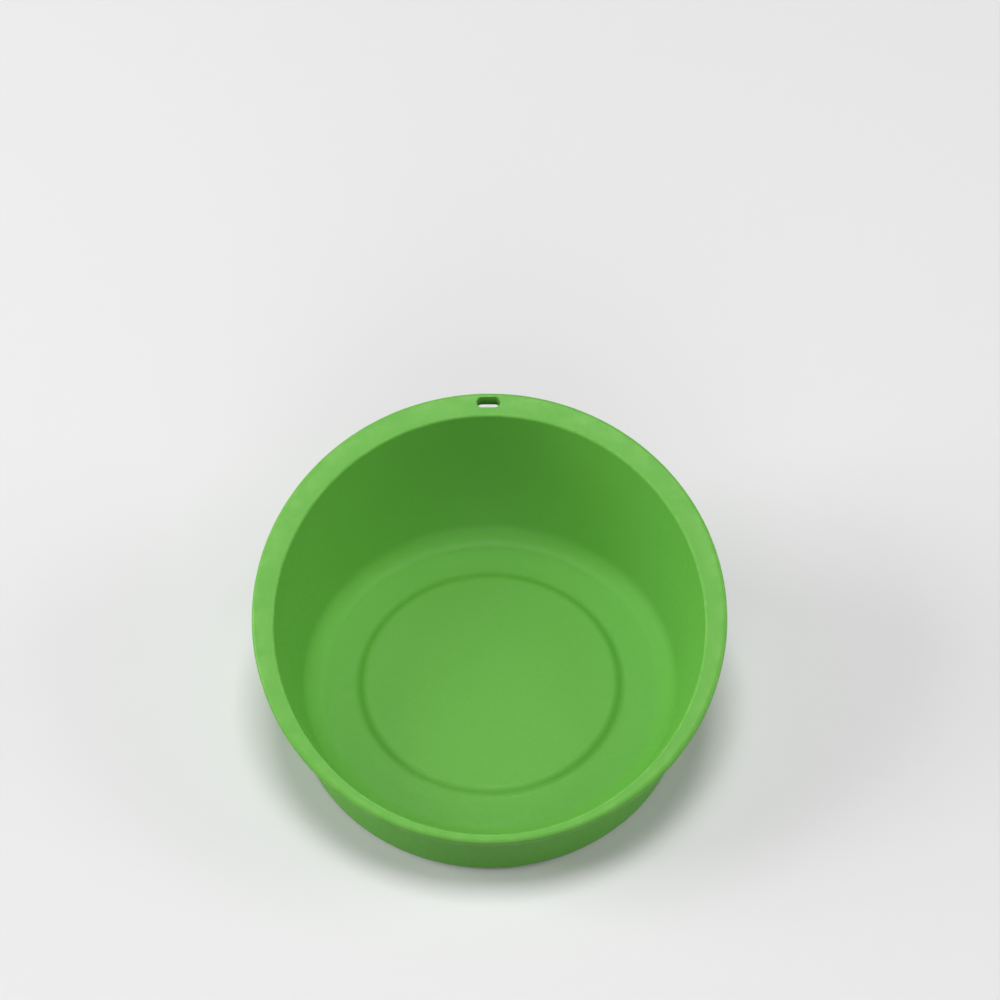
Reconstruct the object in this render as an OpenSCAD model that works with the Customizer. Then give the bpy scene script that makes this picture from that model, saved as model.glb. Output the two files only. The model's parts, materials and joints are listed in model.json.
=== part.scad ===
// Magnetic parts bowl: a round moulded bowl with a slanted rim and a magnet pack under its floor.
// Millimetres, +Z up. The origin is on the ground, under the middle of the magnet.
// The high side of the rim, with its hang slot, is at +Y and the low side at -Y.

/* [Rim] */
// Diameter of the rim, measured in its own slanted plane
rim_d = 101; // [98:0.2:106]
// Slant of the rim, low at the front and high at the back
rim_tilt = 16; // [14:0.5:17]
// Height of the middle of the rim above the inside floor
rim_rise = 22; // [21:0.1:24]
// How far the middle of the rim is set back from the middle of the magnet
rim_setback = 3.8; // [3.4:0.1:4.6]
// Width of the lip outside the bowl's wall, to the left and right
lip_w = 1.8; // [1.6:0.1:2.4]
// Thickness of the lip that runs round the rim
lip_t = 2.5; // [1.8:0.1:3.2]
// Radius of the lip's outer edge
lip_round = 1; // [0.4:0.1:1.4]

/* [Bowl] */
// Thickness of the moulded wall
wall_t = 1.8; // [1.4:0.1:2.2]
// Height above the inside floor where the side stands upright
upright_rise = 36; // [34:0.5:38]
// How far the side leans out, from the flat of the floor to where it stands upright
side_run = 10.7; // [10.5:0.1:12.5]
// Radius of the corner between the floor and the side
corner_r = 5; // [4:0.25:5.5]

/* [Foot] */
// How far the foot ring stands in from the outside of the bowl, at the ground
foot_inset = 6.4; // [6:0.1:8]
// Outward lean of the foot ring's side, in degrees
foot_draft = 7; // [4:0.5:8]
// Radius of the foot ring's lower outer edge
foot_round = 0.6; // [0.3:0.1:0.8]
// Radius of the hollow curve where the foot ring turns into the side
waist_r = 10; // [4:0.5:14]

/* [Raised disc] */
// Height of the raised disc above the rest of the floor
disc_h = 1; // [0.6:0.1:1.4]
// Radius of the two curves, one hollow and one full, of the raised disc's soft edge
disc_ease = 2.5; // [1.5:0.1:4]

/* [Hang slot] */
// Length of the slot, along the rim
slot_l = 5.2; // [4.5:0.1:7]
// Width of the slot, across the lip
slot_w = 2.4; // [2:0.1:2.6]
// Distance from the bowl's side to the slot
slot_gap = 0.15; // [0.1:0.05:0.3]

/* [Magnet pack] */
// Outside diameter of the ring magnet
magnet_d = 50; // [46:0.5:52]
// Diameter of the hole in the ring magnet
magnet_bore_d = 22; // [18:0.5:26]
// Thickness of the ring magnet
magnet_t = 4; // [3:0.25:6]
// Chamfer on the edges of the ring magnet
magnet_chamfer = 0.4; // [0.2:0.1:0.6]
// Thickness of the steel of the pole cup
cup_t = 1; // [0.6:0.1:1.2]
// Outer corner radius of the pole cup
cup_round = 1.2; // [0.9:0.1:1.5]
// Thickness of the adhesive pad
pad_t = 0.4; // [0.2:0.1:1]
// How far the adhesive pad stays inside the flat top of the pole cup
pad_inset = 1.8; // [0.5:0.1:6]

/* [Base cover] */
// Thickness of the base cover
cover_t = 1; // [0.8:0.1:1.6]
// How far the base cover stands below the foot ring
cover_proud = 0.3; // [0.2:0.05:0.5]
// Radius of the base cover's lower edge
cover_round = 0.4; // [0.2:0.1:0.6]
// Height of the locating collar that enters the magnet
collar_h = 2.5; // [1.5:0.25:2.75]
// Wall of the locating collar
collar_t = 1.5; // [1:0.1:2.5]

/* [Fits] */
// Glue gap between the magnet and its pole cup
cup_gap = 0.25; // [0.1:0.05:0.5]
// Clearance of the magnet pack and the base cover in the bowl's pocket
pocket_gap = 0.15; // [0.05:0.05:0.3]
// Clearance of the locating collar in the magnet
collar_gap = 0.2; // [0.1:0.05:0.4]

/* [Hidden] */
$fn = 160;

// Overrun of cuts past the faces that they open
over = 2;
// How far the ends of a hollow curve sink into the faces that they run into
sink = 0.02;

// Heights of the pack, from the ground up
magnet_z = cover_t;
cup_top_z = magnet_z + magnet_t + cup_t;
pocket_z = cup_top_z + pad_t;
disc_z = pocket_z + wall_t;
floor_z = disc_z - disc_h;

// Radii of the pack and of the pocket that holds it
magnet_r = magnet_d / 2;
cup_in_r = magnet_r + cup_gap;
cup_r = cup_in_r + cup_t;
pocket_r = cup_r + pocket_gap;
disc_r = pocket_r + wall_t;
collar_r = magnet_bore_d / 2 - collar_gap;
pad_r = cup_r - cup_round - pad_inset;

// The slanted rim, and the upright outside and inside of the bowl within it
rim_r = rim_d / 2;
rim_z = floor_z + rim_rise;
outer_r = rim_r - lip_w;
mouth_r = outer_r - wall_t;

// The two arcs of the inside: a corner on the floor, and the side that it runs into without a break
upright_z = floor_z + upright_rise;
open_z = max(rim_z + rim_r * sin(rim_tilt), upright_z) + over;
corner_c = [mouth_r - side_run, floor_z + corner_r];
arc_rise = upright_rise - corner_r;
side_r = (pow(side_run, 2) + pow(arc_rise, 2) - pow(corner_r, 2)) / (2 * (side_run - corner_r));
side_c = [mouth_r - side_r, upright_z];
blend_angle = atan2(corner_c.y - side_c.y, corner_c.x - side_c.x);

// The foot ring: a point on the ground, the way up its side and the way out of it
foot_p = [outer_r - foot_inset, cover_proud];
foot_up = [sin(foot_draft), cos(foot_draft)];
foot_out = [cos(foot_draft), -sin(foot_draft)];

// The waist: an arc outside that touches the foot ring's side and the arc of the bowl's side
waist_reach = side_r + wall_t + waist_r;
waist_off = waist_r - (side_c - foot_p) * foot_out;
waist_rise = (side_c - foot_p) * foot_up - sqrt(pow(waist_reach, 2) - pow(waist_off, 2));
waist_c = foot_p + waist_r * foot_out + waist_rise * foot_up;
waist_low = waist_c - (waist_r + sink) * foot_out;
waist_high = waist_c + (waist_r + sink) * (side_c - waist_c) / waist_reach;
waist_root = [waist_low.x - wall_t / 2, waist_high.y];

// The raised disc: where it grows out of the floor, the middle of its soft edge, and the way from there
// to the middle of the hollow curve
disc_root_z = floor_z - wall_t / 2;
edge_h = disc_h + sink;
edge_p = [disc_r, disc_z - edge_h / 2];
edge_way = [sqrt(disc_ease * edge_h - pow(edge_h / 2, 2)), disc_ease - edge_h / 2];

// The hang slot, on the high side of the lip
slot_y = outer_r + slot_gap + slot_w / 2;

// A slice of a disc about c between two angles less than a right angle apart, for rounding an outline
module pie(c, r, from, to) {
    translate(c)
        intersection() {
            circle(r);
            polygon([[0, 0], 2 * r * [cos(from), sin(from)], 2 * r * [cos(to), sin(to)]]);
        }
}

// Half outline of a disc from z0 to z1 whose upper edge is rounded
module round_top(r, z0, z1, edge_r) {
    polygon([[0, z0], [r, z0], [r, z1 - edge_r], [r - edge_r, z1], [0, z1]]);
    pie([r - edge_r, z1 - edge_r], edge_r, 0, 90);
}

// Half outline of a disc from z0 to z1 whose lower edge is rounded
module round_base(r, z0, z1, edge_r) {
    polygon([[0, z0], [r - edge_r, z0], [r, z0 + edge_r], [r, z1], [0, z1]]);
    pie([r - edge_r, z0 + edge_r], edge_r, -90, 0);
}

// Half outline of the bowl's inside, grown outwards: no growth gives the inside, a wall gives the outside
module bowl_section(grow) {
    corner = corner_r + grow;
    side = side_r + grow;
    low = corner_c - [0, corner];
    mid = corner_c + corner * [cos(blend_angle), sin(blend_angle)];
    high = side_c + [side, 0];
    polygon([[0, low.y], low, mid, high, [high.x, open_z], [0, open_z]]);
    pie(corner_c, corner, -90, blend_angle);
    // The side's arc can have its middle beyond the axis, so only what is outside the axis counts
    intersection() {
        pie(side_c, side, blend_angle, 0);
        square([rim_d, open_z]);
    }
}

// Puts its children in the slanted frame of the rim, whose plane is z = 0 there
module in_rim_frame() {
    translate([0, rim_setback, rim_z])
        rotate([rim_tilt, 0, 0])
            children();
}

// Everything below the plane of the rim
module below_rim() {
    in_rim_frame()
        translate([0, 0, -rim_d])
            cylinder(r = rim_d, h = rim_d);
}

// The lip as a whole disc, which the inside then opens to a crescent
module lip_blank() {
    in_rim_frame()
        rotate_extrude()
            round_top(rim_r, -lip_t, 0, lip_round);
}

// Half outline of the ring that the bowl stands on, from the ground up into the bowl's wall
module foot_section() {
    edge_c = foot_p + foot_round * [-(1 - sin(foot_draft)) / cos(foot_draft), 1];
    top = foot_p + (waist_high.y - foot_p.y) * [tan(foot_draft), 1];
    polygon([
        foot_p - [wall_t, 0],
        [edge_c.x, foot_p.y],
        edge_c + foot_round * foot_out,
        top,
        top - [wall_t, 0]
    ]);
    pie(edge_c, foot_round, -90, -foot_draft);
}

// Half outline of the hollow curve that carries the foot ring's side on into the bowl's side
module waist_section() {
    difference() {
        polygon([waist_low, waist_high, waist_root]);
        translate(waist_c)
            circle(waist_r + sink / 2);
    }
}

// Half outline of the outside, closed above
module outside_section() {
    bowl_section(wall_t);
    foot_section();
    waist_section();
}

// Half outline of the raised disc, from within the floor up
module disc_section() {
    hollow_c = edge_p + edge_way;
    full_c = edge_p - edge_way;
    difference() {
        polygon([
            [0, disc_root_z],
            [hollow_c.x, disc_root_z],
            [hollow_c.x, hollow_c.y - disc_ease],
            edge_p,
            [full_c.x, disc_z],
            [0, disc_z]
        ]);
        translate(hollow_c)
            circle(disc_ease);
    }
    pie(full_c, disc_ease, atan2(edge_way.y, edge_way.x), 90);
}

// The raised disc and, below it, the round wall of the pocket for the magnet pack
module magnet_boss() {
    rotate_extrude()
        disc_section();
    translate([0, 0, cover_proud])
        cylinder(r = disc_r, h = disc_root_z - cover_proud);
}

module magnet_pocket() {
    translate([0, 0, -over])
        cylinder(r = pocket_r, h = pocket_z + over);
}

// A slot with round ends, drawn straight up through the lip
module hang_slot() {
    end_x = (slot_l - slot_w) / 2;
    translate([0, slot_y, rim_z])
        linear_extrude(open_z - rim_z) {
            square([2 * end_x, slot_w], center = true);
            for (side = [-1, 1])
                translate([side * end_x, 0])
                    circle(d = slot_w);
        }
}

module bowl() {
    color("limegreen")
        difference() {
            union() {
                difference() {
                    union() {
                        intersection() {
                            rotate_extrude() outside_section();
                            below_rim();
                        }
                        lip_blank();
                    }
                    rotate_extrude() bowl_section(0);
                }
                magnet_boss();
            }
            magnet_pocket();
            hang_slot();
        }
}

module adhesive_pad() {
    color("ivory")
        translate([0, 0, cup_top_z])
            cylinder(r = pad_r, h = pad_t);
}

// A shallow pressed cup, open downwards, that carries the field round to the base
module pole_cup() {
    color("silver")
        difference() {
            rotate_extrude()
                round_top(cup_r, magnet_z, cup_top_z, cup_round);
            translate([0, 0, magnet_z - over])
                cylinder(r = cup_in_r, h = magnet_t + over);
        }
}

module ring_magnet() {
    bore_r = magnet_bore_d / 2;
    top_z = magnet_z + magnet_t;
    color("dimgray")
        rotate_extrude()
            polygon([
                [bore_r + magnet_chamfer, magnet_z],
                [magnet_r - magnet_chamfer, magnet_z],
                [magnet_r, magnet_z + magnet_chamfer],
                [magnet_r, top_z - magnet_chamfer],
                [magnet_r - magnet_chamfer, top_z],
                [bore_r + magnet_chamfer, top_z],
                [bore_r, top_z - magnet_chamfer],
                [bore_r, magnet_z + magnet_chamfer]
            ]);
}

// A thin disc that closes the pocket, with a collar that locates it in the magnet
module base_cover() {
    color("black")
        difference() {
            union() {
                rotate_extrude()
                    round_base(cup_r, 0, cover_t, cover_round);
                cylinder(r = collar_r, h = cover_t + collar_h);
            }
            translate([0, 0, cover_t])
                cylinder(r = collar_r - collar_t, h = collar_h + over);
        }
}

bowl();
adhesive_pad();
pole_cup();
ring_magnet();
base_cover();
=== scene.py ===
"""Looks of a magnetic parts bowl: its five pieces, their finishes and a plain studio round them.

Metres, +Z up. The origin is on the ground under the magnet, and the high side of the rim is at +Y.
"""

import json
import logging
import math
from dataclasses import dataclass, field
from enum import Enum, IntEnum
from functools import cached_property

import bpy
from mathutils import Matrix, Vector

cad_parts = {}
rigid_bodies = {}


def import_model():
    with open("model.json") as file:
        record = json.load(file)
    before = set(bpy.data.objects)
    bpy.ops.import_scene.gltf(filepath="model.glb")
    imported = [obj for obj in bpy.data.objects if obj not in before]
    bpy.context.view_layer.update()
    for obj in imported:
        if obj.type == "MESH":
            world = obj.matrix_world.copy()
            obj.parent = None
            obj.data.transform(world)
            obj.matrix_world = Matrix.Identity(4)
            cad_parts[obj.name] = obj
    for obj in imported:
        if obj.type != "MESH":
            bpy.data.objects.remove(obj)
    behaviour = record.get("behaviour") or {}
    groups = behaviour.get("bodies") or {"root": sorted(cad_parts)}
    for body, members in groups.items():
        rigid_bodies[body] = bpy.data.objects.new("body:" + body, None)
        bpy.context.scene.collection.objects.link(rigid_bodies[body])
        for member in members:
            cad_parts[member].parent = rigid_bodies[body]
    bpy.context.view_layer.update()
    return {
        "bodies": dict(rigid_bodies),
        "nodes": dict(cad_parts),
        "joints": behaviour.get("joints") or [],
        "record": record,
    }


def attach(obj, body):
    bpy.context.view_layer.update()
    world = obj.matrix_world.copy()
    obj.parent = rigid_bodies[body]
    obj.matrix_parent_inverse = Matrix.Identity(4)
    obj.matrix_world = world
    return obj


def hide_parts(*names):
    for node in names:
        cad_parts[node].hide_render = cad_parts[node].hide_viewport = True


LOG = logging.getLogger("parts_bowl")

BODY = "root"

Colour = tuple[float, float, float]
Point = tuple[float, float]
Point3 = tuple[float, float, float]

WHITE = (1.0, 1.0, 1.0, 1.0)

# How close to a rounded edge a flat gets a row of its own, which keeps the flat's shading flat
SUPPORT = 0.00006
# Steps of a small rounded edge
EDGE_STEPS = 6
# Points closer than this become one, which closes the seam of a skin
SEAM = 1e-6
# Edges that turn by more than this stay sharp
SHARP_ANGLE = math.radians(38.0)
# Sides of the pin that the hang slot is cut with
PIN_SIDES = 64
# Halvings that find where two curves meet
HALVINGS = 50
# Length of one wave of the wave texture at a scale of one
WAVE_PERIOD = math.tau / 20.0


class Fall(Enum):
    """The way a rounded edge turns, as the angles of its arc from start to end, in degrees."""

    TOP_TO_SIDE = (90.0, 0.0)
    SIDE_TO_TOP = (0.0, 90.0)
    SIDE_TO_BASE = (0.0, -90.0)
    BASE_TO_SIDE = (-90.0, 0.0)


class Lines(Enum):
    """The way fine lines run over a surface, by the wave texture's name for it."""

    RINGS = "RINGS"
    BANDS = "BANDS"


class Part(IntEnum):
    """The rule that places a row of the bowl's section, in the order of the node tree's switch."""

    RING = 0
    INSIDE = 1
    EDGE = 2
    LIP = 3
    UNDERSIDE = 4
    OUTSIDE = 5


@dataclass(frozen=True)
class Row:
    """One row of points round a piece.

    For a ring, u is the radius and v the height. On the inside, the underside and the outside, u is the share
    of the way. On the rim's inner edge, u runs down the wall and v out over the lip. On the lip, u is the
    distance from the middle of the rim and v the height over its plane.
    """

    part: Part
    u: float
    v: float = 0.0
    edge: float = 0.0


def arc_points(centre: Point, radius: float, start: float, end: float, steps: int) -> list[Point]:
    """Points on an arc, both ends included.

    Args:
        centre: Middle of the arc, as radius and height.
        radius: Radius of the arc.
        start: Angle of the first point, in degrees.
        end: Angle of the last point, in degrees.
        steps: Number of equal steps between them.

    Returns:
        The points in order.
    """
    turn = [math.radians(start + (end - start) * step / steps) for step in range(steps + 1)]
    return [(centre[0] + radius * math.cos(a), centre[1] + radius * math.sin(a)) for a in turn]


def rings(points: list[Point], edge: float = 0.0) -> list[Row]:
    """Turns points of a half outline into ring rows, marked by how far they belong to an edge."""
    return [Row(Part.RING, u, v, edge) for u, v in points]


def round_edge(corner: Point, radius: float, fall: Fall, outer: bool = True) -> list[Row]:
    """Ring rows of a rounded edge.

    Args:
        corner: The sharp corner that the edge replaces, as radius and height.
        radius: Radius of the edge.
        fall: The way the edge turns.
        outer: Whether the edge is on the outside of the piece, and not in its bore.

    Returns:
        The rows in order.
    """
    side = 1.0 if outer else -1.0
    above = -1.0 if min(fall.value) < 0 else 1.0
    centre = (corner[0] - side * radius, corner[1] - above * radius)
    points = arc_points((0.0, 0.0), radius, *fall.value, EDGE_STEPS)
    return rings([(centre[0] + side * x, centre[1] + y) for x, y in points], edge=1.0)


class Scalar:
    """A number that a node puts out, so that a rule is written as a formula."""

    def __init__(self, tree: bpy.types.NodeTree, socket: bpy.types.NodeSocket) -> None:
        """Keeps the tree and the socket that carries the number."""
        self.tree = tree
        self.socket = socket

    def _math(self, operation: str, *operands: "Scalar | float") -> "Scalar":
        """Adds one maths node.

        Args:
            operation: The node's operation.
            operands: Its inputs in order, numbers or sockets.

        Returns:
            The node's result.
        """
        node = add_node(self.tree, "ShaderNodeMath", operation=operation)
        for socket, operand in zip(node.inputs, operands):
            feed(self.tree, socket, operand)
        return Scalar(self.tree, node.outputs[0])

    def __add__(self, other: "Scalar | float") -> "Scalar":
        """Sum."""
        return self._math("ADD", self, other)

    def __sub__(self, other: "Scalar | float") -> "Scalar":
        """Difference."""
        return self._math("SUBTRACT", self, other)

    def __rsub__(self, other: float) -> "Scalar":
        """Difference with a plain number first."""
        return self._math("SUBTRACT", other, self)

    def __mul__(self, other: "Scalar | float") -> "Scalar":
        """Product."""
        return self._math("MULTIPLY", self, other)

    def __truediv__(self, other: "Scalar | float") -> "Scalar":
        """Quotient."""
        return self._math("DIVIDE", self, other)

    def __rtruediv__(self, other: float) -> "Scalar":
        """Quotient with a plain number first."""
        return self._math("DIVIDE", other, self)

    def root(self) -> "Scalar":
        """Square root."""
        return self._math("SQRT", self)

    def at_least(self, low: "Scalar | float") -> "Scalar":
        """The larger of this and another number."""
        return self._math("MAXIMUM", self, low)

    def above(self, limit: "Scalar | float") -> "Scalar":
        """One where this is over a limit, and zero elsewhere."""
        return self._math("GREATER_THAN", self, limit)

    def whole(self) -> "Scalar":
        """Rounded down."""
        return self._math("FLOOR", self)

    def sine(self) -> "Scalar":
        """Sine of an angle in radians."""
        return self._math("SINE", self)

    def cosine(self) -> "Scalar":
        """Cosine of an angle in radians."""
        return self._math("COSINE", self)

    def tangent(self) -> "Scalar":
        """Tangent of an angle in radians."""
        return self._math("TANGENT", self)

    def sign(self) -> "Scalar":
        """Minus one, zero or one."""
        return self._math("SIGN", self)

    def choose(self, when_one: "Scalar", when_zero: "Scalar") -> "Scalar":
        """Picks one of two numbers by this one, which is zero or one."""
        return when_zero + self * (when_one - when_zero)


class Arrow:
    """A vector that a node puts out."""

    def __init__(self, tree: bpy.types.NodeTree, socket: bpy.types.NodeSocket) -> None:
        """Keeps the tree and the socket that carries the vector."""
        self.tree = tree
        self.socket = socket

    def _math(self, operation: str, *operands: "Arrow") -> "Arrow":
        """Adds one vector maths node.

        Args:
            operation: The node's operation.
            operands: Its vectors in order.

        Returns:
            The node's vector.
        """
        node = add_node(self.tree, "ShaderNodeVectorMath", operation=operation)
        for socket, operand in zip(node.inputs, operands):
            feed(self.tree, socket, operand)
        return Arrow(self.tree, node.outputs["Vector"])

    def __add__(self, other: "Arrow") -> "Arrow":
        """Sum."""
        return self._math("ADD", self, other)

    def __sub__(self, other: "Arrow") -> "Arrow":
        """Difference."""
        return self._math("SUBTRACT", self, other)

    def times(self, factor: "Scalar | float") -> "Arrow":
        """The vector scaled by a number."""
        node = add_node(self.tree, "ShaderNodeVectorMath", {"Vector": self, "Scale": factor},
                        operation="SCALE")
        return Arrow(self.tree, node.outputs["Vector"])

    def unit(self) -> "Arrow":
        """The vector at length one."""
        return self._math("NORMALIZE", self)

    def height(self) -> Scalar:
        """The vector's Z."""
        node = add_node(self.tree, "ShaderNodeSeparateXYZ", {"Vector": self})
        return Scalar(self.tree, node.outputs["Z"])


def feed(tree: bpy.types.NodeTree, socket: bpy.types.NodeSocket, source: object) -> None:
    """Links a socket to what feeds it, or sets it where that is a plain value.

    Args:
        tree: The tree that holds the socket.
        socket: The input to feed.
        source: A Scalar, an Arrow, a socket or a plain value.
    """
    if isinstance(source, (Scalar, Arrow)):
        source = source.socket
    if isinstance(source, bpy.types.NodeSocket):
        tree.links.new(source, socket)
    else:
        socket.default_value = source


def add_node(tree: bpy.types.NodeTree, kind: str, inputs: dict[str, object] | None = None,
             **settings: object) -> bpy.types.Node:
    """Adds a node with its settings and inputs.

    Args:
        tree: The tree that gets the node.
        kind: The node's type name.
        inputs: What feeds its inputs, by their names.
        settings: Its own properties.

    Returns:
        The new node.
    """
    node = tree.nodes.new(kind)
    for name, value in settings.items():
        setattr(node, name, value)
    for name, source in (inputs or {}).items():
        feed(tree, node.inputs[name], source)
    return node


def arrow(tree: bpy.types.NodeTree, x: "Scalar | float", y: "Scalar | float", z: "Scalar | float") -> Arrow:
    """A vector made of three numbers."""
    node = add_node(tree, "ShaderNodeCombineXYZ", {"X": x, "Y": y, "Z": z})
    return Arrow(tree, node.outputs[0])


def blend_colours(tree: bpy.types.NodeTree, share: object, first: object,
                  second: object) -> bpy.types.NodeSocket:
    """Mixes two colours.

    Args:
        tree: The shader tree.
        share: How much of the second colour shows.
        first: The first colour.
        second: The second colour.

    Returns:
        The mixed colour.
    """
    mix = add_node(tree, "ShaderNodeMix", data_type="RGBA")
    colours = [socket for socket in mix.inputs if socket.type == "RGBA"]
    for socket, source in zip((mix.inputs["Factor"], *colours), (share, first, second)):
        feed(tree, socket, source)
    return next(socket for socket in mix.outputs if socket.type == "RGBA")


def mix_shaders(tree: bpy.types.NodeTree, share: object, first: bpy.types.Node,
                second: bpy.types.Node) -> bpy.types.NodeSocket:
    """Mixes two shaders.

    Args:
        tree: The shader tree.
        share: How much of the second shader shows.
        first: The first shader's node.
        second: The second shader's node.

    Returns:
        The mixed shader.
    """
    mix = add_node(tree, "ShaderNodeMixShader", {"Fac": share})
    for socket, shader in zip(mix.inputs[1:], (first, second)):
        feed(tree, socket, shader.outputs[0])
    return mix.outputs[0]


def smooth_step(tree: bpy.types.NodeTree, value: object, limits: Point) -> Scalar:
    """A smooth rise from zero to one between two limits.

    Args:
        tree: The shader tree.
        value: The value that the rise follows.
        limits: Where the rise starts and where it ends.

    Returns:
        Zero up to the first limit, and one from the second on.
    """
    step = add_node(tree, "ShaderNodeMapRange",
                    {"Value": value, "From Min": limits[0], "From Max": limits[1]},
                    interpolation_type="SMOOTHSTEP")
    return Scalar(tree, step.outputs["Result"])


def background_rays(tree: bpy.types.NodeTree) -> Scalar:
    """Tells the rays that show the background: from the camera, off gloss and through glass.

    Args:
        tree: The shader tree.

    Returns:
        One for such a ray, and zero for others.
    """
    path = add_node(tree, "ShaderNodeLightPath")
    camera, glossy, through = (Scalar(tree, path.outputs[name])
                               for name in ("Is Camera Ray", "Is Glossy Ray", "Is Transmission Ray"))
    return camera.at_least(glossy).at_least(through)


class ShapeTree:
    """A Geometry Nodes tree that skins the rows of a section into a closed piece."""

    def __init__(self, name: str, sizes: dict[str, float]) -> None:
        """Makes the tree with its named inputs.

        Args:
            name: Name of the tree.
            sizes: The value of each size that the tree takes, by its name.
        """
        self.tree = bpy.data.node_groups.new(name, "GeometryNodeTree")
        self.sizes = sizes
        self.sockets: dict[str, str] = {}
        face = self.tree.interface
        face.new_socket("Section", in_out="INPUT", socket_type="NodeSocketGeometry")
        for size in sizes:
            socket = face.new_socket(size, in_out="INPUT", socket_type="NodeSocketFloat")
            self.sockets[size] = socket.identifier
        for label, kind in (("Columns", "NodeSocketInt"), ("Sharp Angle", "NodeSocketFloat"),
                            ("Material", "NodeSocketMaterial")):
            socket = face.new_socket(label, in_out="INPUT", socket_type=kind)
            self.sockets[label] = socket.identifier
        face.new_socket("Piece", in_out="OUTPUT", socket_type="NodeSocketGeometry")
        self.inputs = self.tree.nodes.new("NodeGroupInput")
        self.outputs = self.tree.nodes.new("NodeGroupOutput")

    def size(self, name: str) -> Scalar:
        """A named input of the tree, as a number."""
        return Scalar(self.tree, self.inputs.outputs[name])

    def row_value(self, name: str, row: Scalar) -> Scalar:
        """A value of the section's rows, read at a row of the grid.

        Args:
            name: The attribute of the section.
            row: Number of the row.

        Returns:
            The value.
        """
        held = add_node(self.tree, "GeometryNodeInputNamedAttribute", {"Name": name}, data_type="FLOAT")
        sample = add_node(
            self.tree, "GeometryNodeSampleIndex",
            {"Geometry": self.inputs.outputs["Section"], "Value": held.outputs["Attribute"], "Index": row},
            data_type="FLOAT", domain="POINT")
        return Scalar(self.tree, sample.outputs["Value"])

    def grid(self) -> tuple[bpy.types.NodeSocket, Scalar, Scalar]:
        """Adds the flat grid that the piece is bent from.

        Returns:
            The grid, the number of each point's row, and its angle round the piece in radians.
        """
        count = add_node(self.tree, "GeometryNodeAttributeDomainSize",
                         {"Geometry": self.inputs.outputs["Section"]}, component="MESH")
        columns = Scalar(self.tree, self.inputs.outputs["Columns"])
        grid = add_node(self.tree, "GeometryNodeMeshGrid",
                        {"Vertices X": count.outputs["Point Count"], "Vertices Y": columns + 1.0})
        index = Scalar(self.tree, add_node(self.tree, "GeometryNodeInputIndex").outputs[0])
        row = ((index + 0.5) / (columns + 1.0)).whole()
        angle = (index - row * (columns + 1.0)) * math.tau / columns
        return grid.outputs["Mesh"], row, angle

    def skin(self, grid: bpy.types.NodeSocket, place: Arrow, row: Scalar) -> bpy.types.NodeSocket:
        """Moves the grid into place, closes its seam and keeps the edge mark of each row.

        Args:
            grid: The flat grid.
            place: Where each of its points goes.
            row: Number of each point's row.

        Returns:
            The closed skin.
        """
        marked = add_node(self.tree, "GeometryNodeStoreNamedAttribute",
                          {"Geometry": grid, "Name": "edge", "Value": self.row_value("edge", row)},
                          data_type="FLOAT", domain="POINT")
        moved = add_node(self.tree, "GeometryNodeSetPosition",
                         {"Geometry": marked.outputs[0], "Position": place})
        closed = add_node(self.tree, "GeometryNodeMergeByDistance",
                          {"Geometry": moved.outputs[0], "Distance": SEAM})
        return closed.outputs[0]

    def finish(self, skin: bpy.types.NodeSocket) -> None:
        """Smooths the skin between its sharp edges and gives it its material.

        Args:
            skin: The closed skin.
        """
        smooth = add_node(self.tree, "GeometryNodeSetShadeSmooth", {"Geometry": skin, "Shade Smooth": True},
                          domain="FACE")
        angle = add_node(self.tree, "GeometryNodeInputMeshEdgeAngle")
        sharp = Scalar(self.tree, angle.outputs["Unsigned Angle"]).above(self.size("Sharp Angle"))
        split = add_node(self.tree, "GeometryNodeSetShadeSmooth",
                         {"Geometry": smooth.outputs[0], "Selection": sharp, "Shade Smooth": False},
                         domain="EDGE")
        real = add_node(self.tree, "GeometryNodeRealizeInstances", {"Geometry": split.outputs[0]})
        dressed = add_node(self.tree, "GeometryNodeSetMaterial",
                           {"Geometry": real.outputs[0], "Material": self.inputs.outputs["Material"]})
        feed(self.tree, self.outputs.inputs["Piece"], dressed.outputs[0])

    def make(self, name: str, rows: list[Row], material: bpy.types.Material,
             columns: int) -> bpy.types.Object:
        """Runs the tree on a section and keeps the result as a plain mesh.

        Args:
            name: Name of the piece.
            rows: The rows of its section, in order.
            material: Its material.
            columns: How many columns go round it.

        Returns:
            The piece, at the origin.
        """
        mesh = bpy.data.meshes.new(name + "_section")
        mesh.from_pydata([(row.u, 0.0, row.v) for row in rows], [], [])
        for label in ("part", "u", "v", "edge"):
            held = mesh.attributes.new(label, "FLOAT", "POINT")
            held.data.foreach_set("value", [float(getattr(row, label)) for row in rows])
        piece = bpy.data.objects.new(name, mesh)
        bpy.context.scene.collection.objects.link(piece)
        modifier = piece.modifiers.new("shape", "NODES")
        modifier.node_group = self.tree
        values = {**self.sizes, "Columns": columns, "Sharp Angle": SHARP_ANGLE, "Material": material}
        for label, value in values.items():
            modifier[self.sockets[label]] = value
        bpy.context.view_layer.update()
        graph = bpy.context.evaluated_depsgraph_get()
        solid = bpy.data.meshes.new_from_object(piece.evaluated_get(graph), depsgraph=graph)
        solid.name = name
        piece.modifiers.remove(modifier)
        piece.data = solid
        bpy.data.meshes.remove(mesh)
        return piece


def lathe_tree() -> ShapeTree:
    """Makes the tree of a turned piece, whose rows are all rings.

    Returns:
        The tree.
    """
    shape = ShapeTree("lathe", {})
    grid, row, angle = shape.grid()
    radius = shape.row_value("u", row)
    place = arrow(shape.tree, radius * angle.cosine(), radius * angle.sine(), shape.row_value("v", row))
    shape.finish(shape.skin(grid, place, row))
    return shape


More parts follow.
